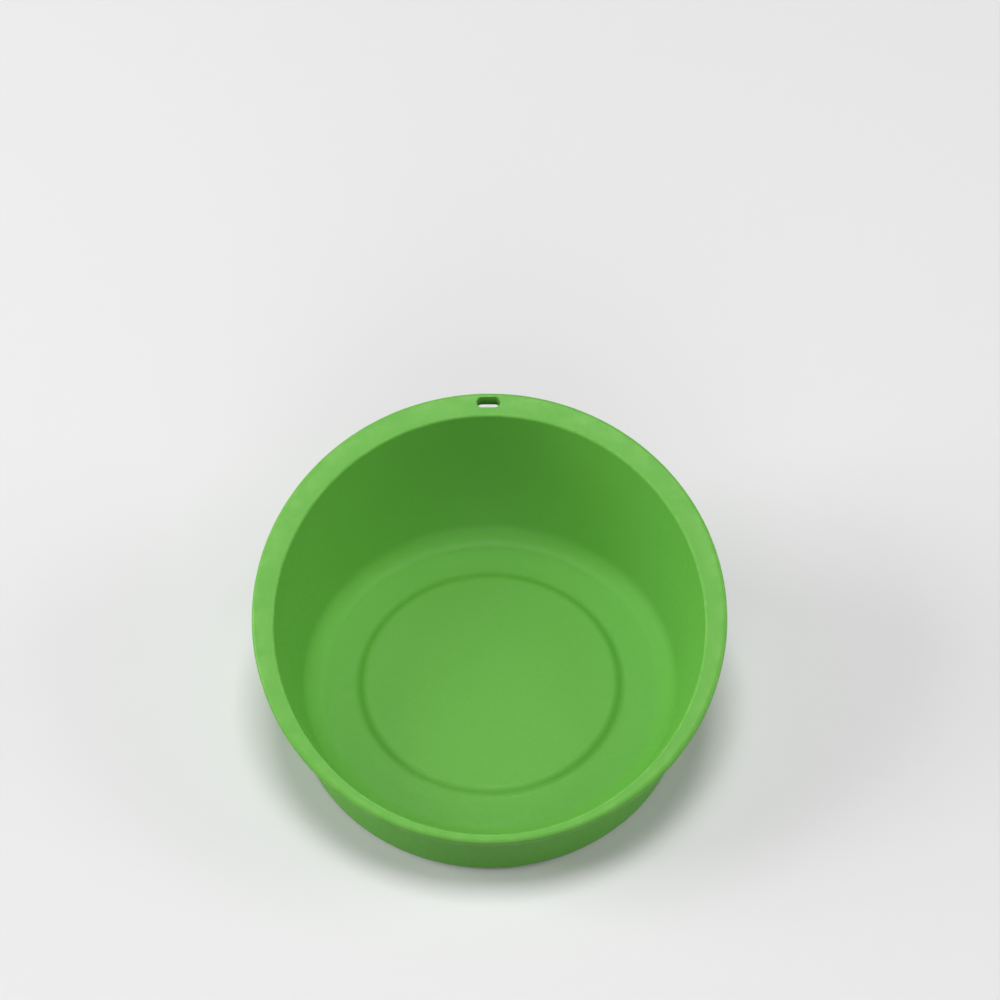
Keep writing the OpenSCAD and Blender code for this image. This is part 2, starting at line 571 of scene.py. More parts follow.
class BowlTree(ShapeTree):
    """The bowl's rule: a turned section whose side is cut off by a slanted rim with a lip round it."""

    def side_radius(self, height: Scalar, grow: Scalar | float) -> Scalar:
        """Radius of the side at a height: an arc that stands upright from its own middle up.

        Args:
            height: The height.
            grow: How far outside the bowl's inside.

        Returns:
            The radius.
        """
        radius = self.size("Side Radius") + grow
        drop = (self.size("Upright Height") - height).at_least(0.0)
        return self.size("Side Centre") + (radius * radius - drop * drop).root()

    def outside_radius(self, height: Scalar) -> Scalar:
        """Radius of the outside at a height: the foot ring's side, the hollow waist, then the bowl's side.

        Args:
            height: The height.

        Returns:
            The radius.
        """
        foot = self.size("Foot Radius") + (height - self.size("Foot Height")) * self.size("Foot Slope")
        waist_r = self.size("Waist Radius")
        fall = height - self.size("Waist Centre Height")
        waist = self.size("Waist Centre") - (waist_r * waist_r - fall * fall).at_least(0.0).root()
        side = self.side_radius(height, self.size("Wall"))
        lower = height.above(self.size("Waist Low")).choose(waist, foot)
        return height.above(self.size("Waist High")).choose(side, lower)

    def meet(self, plane: Scalar, slope: Scalar, grow: Scalar | float) -> tuple[Scalar, Scalar]:
        """Where the side meets a slanted plane.

        Args:
            plane: Height of the plane at the bowl's axis.
            slope: Rise of the plane along this direction from the axis.
            grow: How far outside the bowl's inside.

        Returns:
            Radius and height of the meeting point.
        """
        radius = self.size("Side Radius") + grow
        centre, upright = self.size("Side Centre"), self.size("Upright Height")
        fall = upright - plane
        half = centre + slope * fall
        bend = slope * slope + 1.0
        rest = centre * centre + fall * fall - radius * radius
        on_arc = (half + (half * half - bend * rest).at_least(0.0).root()) / bend
        straight = (plane + slope * on_arc).above(upright)
        reach = straight.choose(centre + radius, on_arc)
        return reach, plane + slope * reach

    def slot_cutter(self) -> bpy.types.NodeSocket:
        """Adds the tall block with round ends that cuts the hang slot.

        Returns:
            The block, which stands where the slot goes through the lip.
        """
        pin = add_node(self.tree, "GeometryNodeMeshCylinder",
                       {"Vertices": PIN_SIDES, "Radius": self.size("Slot Width") * 0.5,
                        "Depth": self.size("Slot Depth")},
                       fill_type="NGON")
        place = add_node(self.tree, "GeometryNodeInputPosition")
        parts = add_node(self.tree, "ShaderNodeSeparateXYZ", {"Vector": place.outputs[0]})
        half = (self.size("Slot Length") - self.size("Slot Width")) * 0.5
        shift = arrow(self.tree, Scalar(self.tree, parts.outputs["X"]).sign() * half,
                      self.size("Slot Place"), self.size("Slot Height"))
        moved = add_node(self.tree, "GeometryNodeSetPosition",
                         {"Geometry": pin.outputs["Mesh"], "Offset": shift})
        return moved.outputs[0]

    def build(self) -> "BowlTree":
        """Writes the whole rule into the tree.

        Returns:
            This tree.
        """
        grid, row, angle = self.grid()
        u, v = self.row_value("u", row), self.row_value("v", row)
        cosine, sine = angle.cosine(), angle.sine()
        tilt, setback = self.size("Rim Tilt"), self.size("Rim Setback")

        def ring(radius: Scalar, height: "Scalar | float") -> Arrow:
            """A point of this column at a radius and a height."""
            return arrow(self.tree, radius * cosine, radius * sine, height)

        slope = tilt.tangent() * sine
        plane = self.size("Rim Height") - tilt.tangent() * setback
        middle = arrow(self.tree, 0.0, setback, self.size("Rim Height"))
        normal = arrow(self.tree, 0.0, 0.0 - tilt.sine(), tilt.cosine())

        edge_r, edge_z = self.meet(plane, slope, 0.0)
        edge = ring(edge_r, edge_z)
        outward = (edge - middle).unit()
        lean = (self.size("Upright Height") - edge_z).at_least(0.0) / (edge_r - self.size("Side Centre"))
        up_wall = ring(lean, 1.0).unit()
        wall_end = edge_z - up_wall.height() * self.size("Edge Round")
        inside_z = self.size("Side Start") + u * (wall_end - self.size("Side Start"))

        low_plane = plane - self.size("Lip Thickness") / tilt.cosine()
        root_z = self.meet(low_plane, slope, self.size("Wall"))[1]
        root_z = low_plane + slope * self.outside_radius(root_z)
        root = ring(self.outside_radius(root_z), root_z)
        corner = middle + outward.times(self.size("Lip Reach")) - normal.times(self.size("Lip Thickness"))
        outside_z = self.size("Foot Start") + u * (root_z - self.size("Foot Start"))

        places = {
            Part.RING: ring(u, v),
            Part.INSIDE: ring(self.side_radius(inside_z, 0.0), inside_z),
            Part.EDGE: edge - up_wall.times(u) + outward.times(v),
            Part.LIP: middle + outward.times(u) + normal.times(v),
            Part.UNDERSIDE: corner + (root - corner).times(u),
            Part.OUTSIDE: ring(self.outside_radius(outside_z), outside_z),
        }
        switch = add_node(self.tree, "GeometryNodeIndexSwitch", data_type="VECTOR")
        while len(switch.index_switch_items) < len(places):
            switch.index_switch_items.new()
        feed(self.tree, switch.inputs["Index"], self.row_value("part", row))
        for part, place in places.items():
            feed(self.tree, switch.inputs[1 + part], place)
        skin = self.skin(grid, Arrow(self.tree, switch.outputs[0]), row)
        cut = add_node(self.tree, "GeometryNodeMeshBoolean", {"Mesh 1": skin, "Mesh 2": self.slot_cutter()},
                       operation="DIFFERENCE", solver="EXACT")
        self.finish(cut.outputs["Mesh"])
        return self


@dataclass
class Effects:
    """Shader node groups that the finishes share, each built when a finish first asks for it."""

    broad_scale: float = 0.23
    broad_share: float = 0.3
    tops_limits: Point = (0.35, 0.65)
    speck_share: float = 0.25
    rub_and_highlight_limits: Point = (0.35, 0.7)

    @staticmethod
    def _group(name: str, inputs: dict[str, str], outputs: dict[str, str]) -> tuple[
            bpy.types.NodeTree, bpy.types.Node, bpy.types.Node]:
        """Makes an empty group.

        Args:
            name: Name of the group.
            inputs: Its inputs, each with its kind of socket.
            outputs: Its outputs, each with its kind of socket.

        Returns:
            The tree, its input node and its output node.
        """
        tree = bpy.data.node_groups.new(name, "ShaderNodeTree")
        for label, kind in inputs.items():
            tree.interface.new_socket(label, in_out="INPUT", socket_type=kind)
        for label, kind in outputs.items():
            tree.interface.new_socket(label, in_out="OUTPUT", socket_type=kind)
        return tree, tree.nodes.new("NodeGroupInput"), tree.nodes.new("NodeGroupOutput")

    @cached_property
    def grain(self) -> bpy.types.NodeTree:
        """The fine pebbling of a moulded or sintered surface.

        Returns:
            The group, which puts out a height and a mask of worn tops.
        """
        tree, given, result = self._group(
            "surface_grain", {"Vector": "NodeSocketVector", "Size": "NodeSocketFloat"},
            {"Height": "NodeSocketFloat", "Tops": "NodeSocketFloat"})
        scale = 1.0 / Scalar(tree, given.outputs["Size"])
        fine = add_node(tree, "ShaderNodeTexNoise",
                        {"Vector": given.outputs["Vector"], "Scale": scale, "Detail": 2.0, "Roughness": 0.55})
        broad = add_node(tree, "ShaderNodeTexNoise",
                         {"Vector": given.outputs["Vector"], "Scale": scale * self.broad_scale,
                          "Detail": 1.0})
        height = (Scalar(tree, fine.outputs["Fac"]) * (1.0 - self.broad_share)
                  + Scalar(tree, broad.outputs["Fac"]) * self.broad_share)
        feed(tree, result.inputs["Height"], height)
        feed(tree, result.inputs["Tops"], smooth_step(tree, height, self.tops_limits))
        return tree

    @cached_property
    def drift(self) -> bpy.types.NodeTree:
        """A slow change between two tones of one colour, as where the melt flowed and cooled.

        Returns:
            The group, which puts out the colour.
        """
        tree, given, result = self._group(
            "tone_drift",
            {"Vector": "NodeSocketVector", "Size": "NodeSocketFloat", "Tone": "NodeSocketColor",
             "Other Tone": "NodeSocketColor", "Specks": "NodeSocketFloat"},
            {"Color": "NodeSocketColor"})
        scale = 1.0 / Scalar(tree, given.outputs["Size"])
        slow = add_node(tree, "ShaderNodeTexNoise",
                        {"Vector": given.outputs["Vector"], "Scale": scale, "Detail": 3.0, "Roughness": 0.5,
                         "Distortion": 0.6})
        share = (Scalar(tree, slow.outputs["Fac"]) * (1.0 - self.speck_share)
                 + Scalar(tree, given.outputs["Specks"]) * self.speck_share)
        feed(tree, result.inputs["Color"],
             blend_colours(tree, share, given.outputs["Tone"], given.outputs["Other Tone"]))
        return tree

    @cached_property
    def rub_and_highlight(self) -> bpy.types.NodeTree:
        """Patches over the marked edges, where handling polishes and wears them, and where the green
        moulding's lip and edges get a painted highlight.

        Returns:
            The group, which puts out a mask.
        """
        tree, given, result = self._group(
            "edge_rub_and_highlight", {"Vector": "NodeSocketVector", "Size": "NodeSocketFloat", "Edge": "NodeSocketFloat"},
            {"Mask": "NodeSocketFloat"})
        scale = 1.0 / Scalar(tree, given.outputs["Size"])
        patch = add_node(tree, "ShaderNodeTexNoise",
                         {"Vector": given.outputs["Vector"], "Scale": scale, "Detail": 4.0,
                          "Roughness": 0.65})
        worn_and_highlight = smooth_step(tree, patch.outputs["Fac"], self.rub_and_highlight_limits)
        feed(tree, result.inputs["Mask"], worn_and_highlight * Scalar(tree, given.outputs["Edge"]))
        return tree


@dataclass(frozen=True)
class Finish:
    """A surface: two tones of one colour, its grain and how it takes light."""

    name: str
    slot: str
    tone: Colour
    other_tone: Colour
    drift_size: float
    grain_size: float
    grain_depth: float
    smoothest: float
    roughest: float
    metallic: float = 0.0
    specular: float = 0.5
    # Lighter tone in patches on the marked rows: worn edges on the rubber cover, and a painted highlight over
    # the green moulding's lip and edges
    edge_wear_and_highlight_tone: Colour | None = None
    edge_share: float = 0.35
    edge_polish: float = 0.1
    rub_and_highlight_size: float = 0.004

    def relief(self, tree: bpy.types.NodeTree, place: bpy.types.NodeSocket, height: Scalar) -> Scalar:
        """The height of the surface, which a finish with marks of its own adds to.

        Args:
            tree: The material's tree.
            place: Coordinates of the piece.
            height: The height of the grain.

        Returns:
            The height that the bump takes.
        """
        return height

    def shown(self, tree: bpy.types.NodeTree, colour: bpy.types.NodeSocket) -> bpy.types.NodeSocket:
        """The colour that the shader takes, which a finish of the stage changes by the kind of ray.

        Args:
            tree: The material's tree.
            colour: The colour of the surface.

        Returns:
            The colour for the shader.
        """
        return colour

    def material(self, effects: Effects) -> bpy.types.Material:
        """Builds the material.

        Args:
            effects: The shared shader groups.

        Returns:
            The new material.
        """
        material = bpy.data.materials.new(self.name)
        material.use_nodes = True
        tree = material.node_tree
        shader = tree.nodes["Principled BSDF"]
        shader.inputs["Metallic"].default_value = self.metallic
        shader.inputs["Specular IOR Level"].default_value = self.specular
        place = add_node(tree, "ShaderNodeTexCoord").outputs["Object"]
        grain = self._group(tree, effects.grain, {"Vector": place, "Size": self.grain_size})
        drift = self._group(tree, effects.drift,
                            {"Vector": place, "Size": self.drift_size, "Tone": (*self.tone, 1.0),
                             "Other Tone": (*self.other_tone, 1.0), "Specks": grain.outputs["Tops"]})
        colour = drift.outputs["Color"]
        tops = Scalar(tree, grain.outputs["Tops"])
        roughness = self.roughest - tops * (self.roughest - self.smoothest)
        # Painted highlight and wear: in patches on the marked rows, the whole lip included, the colour turns
        # lighter towards the edge tone
        if self.edge_wear_and_highlight_tone is not None:
            edge = add_node(tree, "ShaderNodeAttribute", attribute_name="edge", attribute_type="GEOMETRY")
            rub_and_highlight = self._group(tree, effects.rub_and_highlight,
                              {"Vector": place, "Size": self.rub_and_highlight_size, "Edge": edge.outputs["Fac"]})
            worn_and_highlight = Scalar(tree, rub_and_highlight.outputs["Mask"])
            colour = blend_colours(tree, worn_and_highlight * self.edge_share, colour, (*self.edge_wear_and_highlight_tone, 1.0))
            roughness = roughness - worn_and_highlight * self.edge_polish
        bump = add_node(tree, "ShaderNodeBump",
                        {"Height": self.relief(tree, place, Scalar(tree, grain.outputs["Height"])),
                         "Distance": self.grain_depth, "Strength": 1.0})
        feed(tree, shader.inputs["Base Color"], self.shown(tree, colour))
        feed(tree, shader.inputs["Roughness"], roughness)
        feed(tree, shader.inputs["Normal"], bump.outputs["Normal"])
        return material

    @staticmethod
    def _group(tree: bpy.types.NodeTree, group: bpy.types.NodeTree,
               inputs: dict[str, object]) -> bpy.types.Node:
        """Places a shared group in a material with its own values."""
        return add_node(tree, "ShaderNodeGroup", inputs, node_tree=group)


@dataclass(frozen=True)
class LinedFinish(Finish):
    """A surface with the fine lines that drawing, turning or grinding leaves."""

    lines: Lines = Lines.RINGS
    line_pitch: float = 0.0006
    line_share: float = 0.5

    def relief(self, tree: bpy.types.NodeTree, place: bpy.types.NodeSocket, height: Scalar) -> Scalar:
        """Adds the lines to the grain.

        Args:
            tree: The material's tree.
            place: Coordinates of the piece.
            height: The height of the grain.

        Returns:
            The height of both together.
        """
        wave = add_node(tree, "ShaderNodeTexWave",
                        {"Vector": place, "Scale": WAVE_PERIOD / self.line_pitch, "Distortion": 1.5,
                         "Detail": 2.0, "Detail Scale": 3.0},
                        wave_type=self.lines.value)
        if self.lines is Lines.RINGS:
            wave.rings_direction = "Z"
        return height * (1.0 - self.line_share) + Scalar(tree, wave.outputs["Fac"]) * self.line_share


@dataclass(frozen=True)
class GroundFinish(Finish):
    """A floor that the camera sees pale, and that throws little light back on what stands on it.

    Away from the middle it fades into the backdrop.
    """

    thrown: Colour = (0.08, 0.08, 0.08)
    backdrop: float = 0.9
    fade_limits: Point = (0.3, 1.0)

    def shown(self, tree: bpy.types.NodeTree, colour: bpy.types.NodeSocket) -> bpy.types.NodeSocket:
        """Its own colour for the background's rays, and the thrown tone for the others."""
        return blend_colours(tree, background_rays(tree), (*self.thrown, 1.0), colour)

    def material(self, effects: Effects) -> bpy.types.Material:
        """Builds the material with its fade into the backdrop.

        Args:
            effects: The shared shader groups.

        Returns:
            The new material.
        """
        material = super().material(effects)
        tree = material.node_tree
        place = add_node(tree, "ShaderNodeTexCoord").outputs["Object"]
        reach = add_node(tree, "ShaderNodeVectorMath", {"Vector": place}, operation="LENGTH").outputs["Value"]
        share = smooth_step(tree, reach, self.fade_limits) * background_rays(tree)
        glow = add_node(tree, "ShaderNodeEmission", {"Color": WHITE, "Strength": self.backdrop})
        faded = mix_shaders(tree, share, tree.nodes["Principled BSDF"], glow)
        feed(tree, tree.nodes["Material Output"].inputs["Surface"], faded)
        return material


# Its edge tone is a painted highlight: a lighter green in patches over the lip and the edges of the rim and
# foot ring
GREEN_PLASTIC = Finish(
    name="green_plastic", slot="green_plastic", tone=(0.112, 0.385, 0.047), other_tone=(0.132, 0.415, 0.057),
    drift_size=0.03, grain_size=0.00032, grain_depth=0.000012, smoothest=0.46, roughest=0.62,
    specular=0.25, edge_wear_and_highlight_tone=(0.2, 0.5, 0.08))
PALE_ADHESIVE = Finish(
    name="pale_adhesive", slot="adhesive", tone=(0.72, 0.69, 0.58), other_tone=(0.78, 0.75, 0.66),
    drift_size=0.006, grain_size=0.0008, grain_depth=0.00002, smoothest=0.3, roughest=0.5)
ZINC_STEEL = LinedFinish(
    name="zinc_steel", slot="zinc_steel", tone=(0.56, 0.57, 0.59), other_tone=(0.68, 0.69, 0.7),
    drift_size=0.004, grain_size=0.0005, grain_depth=0.000006, smoothest=0.24, roughest=0.4, metallic=1.0,
    lines=Lines.RINGS, line_pitch=0.0007)
DARK_FERRITE = LinedFinish(
    name="dark_ferrite", slot="ferrite", tone=(0.04, 0.04, 0.045), other_tone=(0.065, 0.064, 0.066),
    drift_size=0.003, grain_size=0.0002, grain_depth=0.000012, smoothest=0.5, roughest=0.72,
    lines=Lines.BANDS, line_pitch=0.0005, line_share=0.35)
BLACK_RUBBER = Finish(
    name="black_rubber", slot="black_rubber", tone=(0.017, 0.017, 0.018), other_tone=(0.026, 0.026, 0.027),
    drift_size=0.012, grain_size=0.0004, grain_depth=0.00003, smoothest=0.62, roughest=0.82,
    edge_wear_and_highlight_tone=(0.05, 0.05, 0.05))
PALE_PAPER = GroundFinish(
    name="pale_paper", slot="", tone=(0.74, 0.74, 0.74), other_tone=(0.74, 0.74, 0.74),
    drift_size=0.5, grain_size=0.002, grain_depth=0.00001, smoothest=0.75, roughest=0.85)


def span(start: Point, end: Point) -> list[Row]:
    """Ring rows of a straight run, with a row close to each of its ends.

    Args:
        start: First point, as radius and height.
        end: Last point.

    Returns:
        Four rows in order.
    """
    first, last = Vector(start), Vector(end)
    step = (last - first).normalized() * SUPPORT
    return rings([tuple(point) for point in (first, first + step, last - step, last)])


def place_piece(piece: bpy.types.Object, node: str) -> bpy.types.Object:
    """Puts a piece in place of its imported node.

    Args:
        piece: The piece, at the origin.
        node: The node that it stands for.

    Returns:
        The piece.
    """
    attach(piece, BODY)
    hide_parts(node)
    return piece


@dataclass
class MagnetPack:
    """The ring magnet in its pole cup, and the pad that bonds them under the bowl's floor."""

    base_z: float = 0.001
    magnet_d: float = 0.05
    bore_d: float = 0.022
    magnet_t: float = 0.004
    chamfer: float = 0.0004
    cup_t: float = 0.001
    cup_gap: float = 0.00025
    cup_round: float = 0.0012
    pad_t: float = 0.0004
    pad_inset: float = 0.0018
    pad_round: float = 0.0001
    mouth_round: float = 0.0002
    columns: int = 128

    @property
    def cup_r(self) -> float:
        """Outside radius of the pole cup."""
        return self.magnet_d / 2 + self.cup_gap + self.cup_t

    @property
    def cup_top_z(self) -> float:
        """Height of the top of the pole cup."""
        return self.base_z + self.magnet_t + self.cup_t

    def magnet_rows(self) -> list[Row]:
        """Section of the ring magnet, closed on itself.

        Returns:
            The rows in order.
        """
        low, high, cut = self.base_z, self.base_z + self.magnet_t, self.chamfer
        bore, out = self.bore_d / 2, self.magnet_d / 2
        points = [(bore + cut, high), (out - cut, high), (out, high - cut), (out, low + cut),
                  (out - cut, low), (bore + cut, low), (bore, low + cut), (bore, high - cut),
                  (bore + cut, high)]
        return rings(points)

    def cup_rows(self) -> list[Row]:
        """Section of the pole cup, from the middle of its top to the middle of its inside.

        Returns:
            The rows in order.
        """
        inner, low, lift = self.cup_r - self.cup_t, self.base_z, self.mouth_round
        ceiling = self.cup_top_z - self.cup_t
        return [
            *span((0.0, self.cup_top_z), (self.cup_r - self.cup_round, self.cup_top_z)),
            *round_edge((self.cup_r, self.cup_top_z), self.cup_round, Fall.TOP_TO_SIDE),
            *span((self.cup_r, self.cup_top_z - self.cup_round), (self.cup_r, low + lift)),
            *round_edge((self.cup_r, low), lift, Fall.SIDE_TO_BASE),
            *round_edge((inner, low), lift, Fall.BASE_TO_SIDE, outer=False),
            *span((inner, low + lift), (inner, ceiling)),
            *span((inner, ceiling), (0.0, ceiling)),
        ]

    def pad_rows(self) -> list[Row]:
        """Section of the adhesive pad.

        Returns:
            The rows in order.
        """
        out = self.cup_r - self.cup_round - self.pad_inset
        low, high, lift = self.cup_top_z, self.cup_top_z + self.pad_t, self.pad_round
        return [
            *span((0.0, high), (out - lift, high)),
            *round_edge((out, high), lift, Fall.TOP_TO_SIDE),
            *round_edge((out, low), lift, Fall.SIDE_TO_BASE),
            *span((out - lift, low), (0.0, low)),
        ]

    def build(self, effects: Effects) -> list[bpy.types.Object]:
        """Makes the three pieces of the pack.

        Args:
            effects: The shared shader groups.

        Returns:
            The pieces.
        """
        shape = lathe_tree()
        plan = (("magnet_ring", "ring_magnet", self.magnet_rows(), DARK_FERRITE),
                ("cup_pressing", "pole_cup", self.cup_rows(), ZINC_STEEL),
                ("bond_pad", "adhesive_pad", self.pad_rows(), PALE_ADHESIVE))
        return [place_piece(shape.make(name, rows, finish.material(effects), self.columns), node)
                for name, node, rows, finish in plan]


@dataclass
class BaseCover:
    """The thin cover that closes the magnet's pocket, with the collar that locates it in the magnet."""

    pack: MagnetPack
    edge_round: float = 0.0004
    collar_h: float = 0.0025
    collar_t: float = 0.0015
    collar_gap: float = 0.0002
    collar_round: float = 0.0003
    rim_round: float = 0.00015
    columns: int = 160

    def rows(self) -> list[Row]:
        """Section of the cover, from the middle of the collar's floor to the middle of its underside.

        Returns:
            The rows in order.
        """
        top, out = self.pack.base_z, self.pack.cup_r
        collar = self.pack.bore_d / 2 - self.collar_gap
        well, crown = collar - self.collar_t, top + self.collar_h
        return [
            *span((0.0, top), (well, top)),
            *span((well, top), (well, crown - self.collar_round)),
            *round_edge((well, crown), self.collar_round, Fall.SIDE_TO_TOP, outer=False),
            *round_edge((collar, crown), self.collar_round, Fall.TOP_TO_SIDE),
            *span((collar, crown - self.collar_round), (collar, top)),
            *span((collar, top), (out - self.rim_round, top)),
            *round_edge((out, top), self.rim_round, Fall.TOP_TO_SIDE),
            *span((out, top - self.rim_round), (out, self.edge_round)),
            *round_edge((out, 0.0), self.edge_round, Fall.SIDE_TO_BASE),
            *span((out - self.edge_round, 0.0), (0.0, 0.0)),
        ]

    def build(self, effects: Effects) -> list[bpy.types.Object]:
        """Makes the cover, with the same argument and result as the other assemblies."""
        piece = lathe_tree().make("cover_disc", self.rows(), BLACK_RUBBER.material(effects), self.columns)
        return [place_piece(piece, "base_cover")]


@dataclass
class MouldedBowl:
    """The one moulding: its floor with a raised disc, side, slanted rim with lip and slot, and foot ring."""

    pack: MagnetPack
    rim_d: float = 0.101
    rim_tilt: float = math.radians(16.0)
    rim_rise: float = 0.022
    rim_setback: float = 0.0038
    lip_w: float = 0.0018
    lip_t: float = 0.0025
    lip_round: float = 0.001
    lip_lower_round: float = 0.0002
    edge_round: float = 0.0005
    wall_t: float = 0.0018
    upright_rise: float = 0.036
    side_run: float = 0.0107
    corner_r: float = 0.005
    foot_inset: float = 0.0064
    foot_draft: float = math.radians(7.0)
    foot_round: float = 0.0006
    foot_z: float = 0.0003
    waist_r: float = 0.01
    disc_h: float = 0.001
    disc_ease: float = 0.0025
    slot_l: float = 0.0052
    slot_w: float = 0.0024
    slot_gap: float = 0.00015
    pocket_gap: float = 0.00015
    columns: int = 256
    side_rows: int = 30
    top_share: float = 0.997
    corner_steps: int = 14
    edge_steps: int = 8

    @cached_property
    def disc_z(self) -> float:
        """Height of the raised disc's top."""
        return self.pocket_z + self.wall_t

    @cached_property
    def pocket_z(self) -> float:
        """Height of the magnet pocket's ceiling."""
        return self.pack.cup_top_z + self.pack.pad_t

    @cached_property
    def pocket_r(self) -> float:
        """Radius of the magnet pocket."""
        return self.pack.cup_r + self.pocket_gap

    @cached_property
    def disc_r(self) -> float:
        """Radius of the raised disc."""
        return self.pocket_r + self.wall_t

    @cached_property
    def floor_z(self) -> float:
        """Height of the inside floor round the disc."""
        return self.disc_z - self.disc_h

    @cached_property
    def rim_r(self) -> float:
        """Radius of the rim in its own plane."""
        return self.rim_d / 2

    @cached_property
    def rim_z(self) -> float:
        """Height of the middle of the rim."""
        return self.floor_z + self.rim_rise

    @cached_property
    def outer_r(self) -> float:
        """Radius of the upright outside."""
        return self.rim_r - self.lip_w

    @cached_property
    def corner_c(self) -> Vector:
        """Middle of the corner's arc, as radius and height."""
        return Vector((self.outer_r - self.wall_t - self.side_run, self.floor_z + self.corner_r))

    @cached_property
    def side_r(self) -> float:
        """Radius of the side's arc, which carries the corner's arc on without a break."""
        rise = self.upright_rise - self.corner_r
        return (self.side_run ** 2 + rise ** 2 - self.corner_r ** 2) / (2 * (self.side_run - self.corner_r))

    @cached_property
    def side_c(self) -> Vector:
        """Middle of the side's arc."""
        return Vector((self.outer_r - self.wall_t - self.side_r, self.floor_z + self.upright_rise))

    @cached_property
    def blend_angle(self) -> float:
        """Direction in which the corner's arc runs into the side's, in degrees."""
        way = self.corner_c - self.side_c
        return math.degrees(math.atan2(way.y, way.x))

    @cached_property
    def foot_p(self) -> Vector:
        """Where the foot ring's side would meet the ground."""
        return Vector((self.outer_r - self.foot_inset, self.foot_z))

    @cached_property
    def foot_up(self) -> Vector:
        """The way up the foot ring's side."""
        return Vector((math.sin(self.foot_draft), math.cos(self.foot_draft)))

    @cached_property
    def foot_out(self) -> Vector:
        """The way out of the foot ring's side."""
        return Vector((math.cos(self.foot_draft), -math.sin(self.foot_draft)))

    @cached_property
    def foot_edge_c(self) -> Vector:
        """Middle of the arc of the foot ring's lower edge."""
        back = (1 - math.sin(self.foot_draft)) / math.cos(self.foot_draft)
        return self.foot_p + self.foot_round * Vector((-back, 1.0))

    @cached_property
    def waist_c(self) -> Vector:
        """Middle of the hollow arc between the foot ring's side and the bowl's side.

        Returns:
            The point, as radius and height.
        """
        way = self.side_c - self.foot_p
        reach = self.side_r + self.wall_t + self.waist_r
        off = self.waist_r - way.dot(self.foot_out)
        rise = way.dot(self.foot_up) - math.sqrt(reach ** 2 - off ** 2)
        return self.foot_p + self.waist_r * self.foot_out + rise * self.foot_up

    def tree_sizes(self) -> dict[str, float]:
        """The sizes that the bowl's node tree takes.

        Returns:
            The value of each size, by the name of its input.
        """
        waist_low = self.waist_c - self.waist_r * self.foot_out
        waist_high = self.waist_c + self.waist_r * (self.side_c - self.waist_c).normalized()
        return {
            "Rim Height": self.rim_z,
            "Rim Setback": self.rim_setback,
            "Rim Tilt": self.rim_tilt,
            "Lip Thickness": self.lip_t,
            "Lip Reach": self.rim_r - self.lip_lower_round - SUPPORT,
            "Edge Round": self.edge_round,
            "Wall": self.wall_t,
            "Side Centre": self.side_c.x,
            "Side Radius": self.side_r,
            "Upright Height": self.side_c.y,
            "Side Start": self.corner_c.y + self.corner_r * math.sin(math.radians(self.blend_angle)),
            "Waist Centre": self.waist_c.x,
            "Waist Centre Height": self.waist_c.y,
            "Waist Radius": self.waist_r,
            "Waist Low": waist_low.y,
            "Waist High": waist_high.y,
            "Foot Radius": self.foot_p.x,
            "Foot Height": self.foot_p.y,
            "Foot Slope": math.tan(self.foot_draft),
            "Foot Start": (self.foot_edge_c + self.foot_round * self.foot_out).y,
            "Slot Length": self.slot_l,
            "Slot Width": self.slot_w,
            "Slot Place": self.outer_r + self.slot_gap + self.slot_w / 2,
            "Slot Height": self.rim_z + self.rim_r / 2,
            "Slot Depth": self.rim_r,
        }

    def disc_edge(self) -> list[Point]:
        """Points down the soft edge of the raised disc: a full curve that turns into a hollow one.

        Returns:
            The points in order.
        """
        middle = Vector((self.disc_r, self.disc_z - self.disc_h / 2))
        rise = self.disc_ease - self.disc_h / 2
        way = Vector((math.sqrt(self.disc_ease ** 2 - rise ** 2), rise))
        turn = math.degrees(math.atan2(way.y, way.x))
        full = arc_points(middle - way, self.disc_ease, 90.0, turn, self.edge_steps)
        hollow = arc_points(middle + way, self.disc_ease, 180.0 + turn, 270.0, self.edge_steps)
        return [*full, *hollow[1:]]

    def inside_rows(self) -> list[Row]:
        """Rows from the middle of the disc, over the floor and up the side.

        Returns:
            The rows in order.
        """
        shares = [step / self.side_rows for step in range(1, self.side_rows)]
        edge = self.disc_edge()
        return [
            *span((0.0, self.disc_z), edge[0]),
            *rings(edge),
            *span(edge[-1], (self.corner_c.x, self.floor_z)),
            *rings(arc_points(self.corner_c, self.corner_r, -90.0, self.blend_angle, self.corner_steps)),
            *[Row(Part.INSIDE, share) for share in (*shares, self.top_share)],
        ]

    def rim_rows(self) -> list[Row]:
        """Rows round the rim: its inner edge, the lip's top, outer edge and side, and the lip's underside.

        Returns:
            The rows in order.
        """
        turn = [step / self.edge_steps for step in range(self.edge_steps + 1)]
        inner = [Row(Part.EDGE, self.edge_round * (1 - t) ** 2, self.edge_round * t ** 2, 1.0) for t in turn]
        out, top, low = self.rim_r, self.lip_round, self.lip_lower_round
        upper = arc_points((out - top, -top), top, 90.0, 0.0, self.edge_steps)
        lower = arc_points((out - low, low - self.lip_t), low, 0.0, -90.0, self.edge_steps // 2)
        lip = [(out - top - SUPPORT, 0.0), *upper, (out, -top - SUPPORT), (out, low + SUPPORT - self.lip_t),
               *lower, (out - low - SUPPORT, -self.lip_t)]
        # The inner edge and the whole lip are marked as edge, which gives them the moulding's painted
        # highlight
        return [
            *inner,
            Row(Part.EDGE, 0.0, self.edge_round + SUPPORT),
            *[Row(Part.LIP, u, v, 1.0) for u, v in lip],
            Row(Part.UNDERSIDE, 0.5),
        ]

